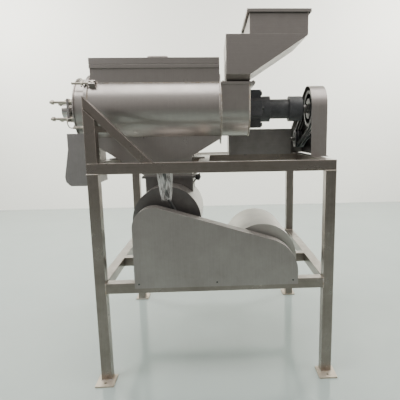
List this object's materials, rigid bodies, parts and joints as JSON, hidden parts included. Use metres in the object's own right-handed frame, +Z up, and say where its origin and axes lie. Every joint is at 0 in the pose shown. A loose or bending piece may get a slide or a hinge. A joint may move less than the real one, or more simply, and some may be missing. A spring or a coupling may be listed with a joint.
{
  "type": "hammer mill",
  "caption": "Hammer mill on a square-tube stand: wedge hopper, hammer chamber, beater drum with hinged lid, funnel, round mill below, guarded belt drives.",
  "frame": {"origin": "on the floor, at the centre of the four anchor-bolt holes in the foot plates", "axes": "+Z up, +X along the rotor towards its pulley, +Y away from the operator's side"},
  "size_m": [1.471, 1.15, 1.813],
  "materials": {
    "inox": "satin, brushed along each piece",
    "raw_steel": "turned and zinc-dull",
    "cast_iron": "charcoal enamel on a casting",
    "bolt_black": "black oxide",
    "belt_rubber": "matt",
    "motor_paint": "satin enamel"
  },
  "bodies": {
    "machine": {"legs": "inox", "foot_plates": "raw_steel", "upper_rails": "inox", "lower_rails": "inox", "cross_rails": "inox", "end_supports": "inox", "drum_shell": "inox", "drum_end_plates": "inox", "collecting_funnel": "inox", "drum_screen": "inox", "hinge_lugs": "inox", "discharge_collar": "inox", "end_cover": "inox", "end_bearing_housing": "cast_iron", "adjusting_rods": "raw_steel", "residue_chute": "inox", "hammer_chamber": "inox", "chamber_end_plate": "inox", "hopper": "inox", "feed_tray": "inox", "bolts_and_screws": "bolt_black", "bearing_cartridge": "cast_iron", "bearings": "raw_steel", "upper_belt_guard": "inox", "upper_belts": "belt_rubber", "upper_motor": "motor_paint", "upper_motor_cover": "inox", "mill_casing": "inox", "mill_end_plates": "inox", "mill_throat": "inox", "mill_screen": "inox", "mill_spout": "inox", "mill_saddles": "inox", "mill_bearing_housings": "cast_iron", "lower_belt_guard": "inox", "lower_belts": "belt_rubber", "lower_motor": "motor_paint", "motor_shroud": "inox", "supply_cable": "belt_rubber"},
    "lid": {"drum_lid": "inox", "lid_handle": "inox"},
    "rotor": {"main_shaft": "raw_steel", "hammer_rotor": "cast_iron", "drum_beaters": "cast_iron", "shaft_pulley": "cast_iron"},
    "hammers_1": {"hammer_row_1": "raw_steel"},
    "hammers_2": {"hammer_row_2": "raw_steel"},
    "hammers_3": {"hammer_row_3": "raw_steel"},
    "hammers_4": {"hammer_row_4": "raw_steel"},
    "upper_motor_rotor": {"upper_motor_shaft": "raw_steel", "upper_motor_pulley": "cast_iron"},
    "mill_rotor_set": {"mill_shaft": "raw_steel", "mill_rotor": "cast_iron", "mill_pulley": "cast_iron"},
    "lower_motor_rotor": {"lower_motor_shaft": "raw_steel", "lower_motor_pulley": "cast_iron"},
    "clamp_back_top": {"swing_bolt_back_top": "raw_steel"},
    "clamp_front_top": {"swing_bolt_front_top": "raw_steel"},
    "clamp_front_bottom": {"swing_bolt_front_bottom": "raw_steel"},
    "clamp_back_bottom": {"swing_bolt_back_bottom": "raw_steel"}
  },
  "joints": [
    {"name": "lid_hinge", "type": "hinge", "parent": "machine", "child": "lid", "pos_m": [0, 0.027, 1.581], "axis": [-1, 0, 0], "range_deg": [0, 110]},
    {"name": "rotor_spin", "type": "hinge", "parent": "machine", "child": "rotor", "pos_m": [0, -0.125, 1.35], "axis": [1, 0, 0], "continuous": true},
    {"name": "upper_motor_spin", "type": "hinge", "parent": "machine", "child": "upper_motor_rotor", "pos_m": [0.5, 0.235, 1.18], "axis": [1, 0, 0], "continuous": true},
    {"name": "mill_spin", "type": "hinge", "parent": "machine", "child": "mill_rotor_set", "pos_m": [-0.238, 0, 0.791], "axis": [0, 1, 0], "continuous": true},
    {"name": "lower_motor_spin", "type": "hinge", "parent": "machine", "child": "lower_motor_rotor", "pos_m": [0.24, -0.4, 0.592], "axis": [0, 1, 0], "continuous": true},
    {"name": "hammer_swing_1", "type": "hinge", "parent": "rotor", "child": "hammers_1", "pos_m": [0.11, -0.053, 1.35], "axis": [1, 0, 0], "range_deg": [-80, 80]},
    {"name": "hammer_swing_2", "type": "hinge", "parent": "rotor", "child": "hammers_2", "pos_m": [0.11, -0.125, 1.422], "axis": [1, 0, 0], "range_deg": [-80, 80]},
    {"name": "hammer_swing_3", "type": "hinge", "parent": "rotor", "child": "hammers_3", "pos_m": [0.11, -0.197, 1.35], "axis": [1, 0, 0], "range_deg": [-80, 80]},
    {"name": "hammer_swing_4", "type": "hinge", "parent": "rotor", "child": "hammers_4", "pos_m": [0.11, -0.125, 1.278], "axis": [1, 0, 0], "range_deg": [-80, 80]},
    {"name": "clamp_swing_back_top", "type": "hinge", "parent": "machine", "child": "clamp_back_top", "pos_m": [-0.599, 0.02591, 1.47663], "axis": [0, 0.6428, -0.766], "range_deg": [0, 95]},
    {"name": "clamp_swing_front_top", "type": "hinge", "parent": "machine", "child": "clamp_front_top", "pos_m": [-0.599, -0.27591, 1.47663], "axis": [0, 0.6428, 0.766], "range_deg": [0, 95]},
    {"name": "clamp_swing_front_bottom", "type": "hinge", "parent": "machine", "child": "clamp_front_bottom", "pos_m": [-0.599, -0.29894, 1.25751], "axis": [0, -0.4695, 0.8829], "range_deg": [0, 95]},
    {"name": "clamp_swing_back_bottom", "type": "hinge", "parent": "machine", "child": "clamp_back_bottom", "pos_m": [-0.599, 0.04894, 1.25751], "axis": [0, -0.4695, -0.8829], "range_deg": [0, 95]}
  ],
  "couplings": [
    {"joint": "upper_motor_spin", "follows": "rotor_spin", "ratio": 1.9018},
    {"joint": "lower_motor_spin", "follows": "mill_spin", "ratio": 0.82583}
  ]
}
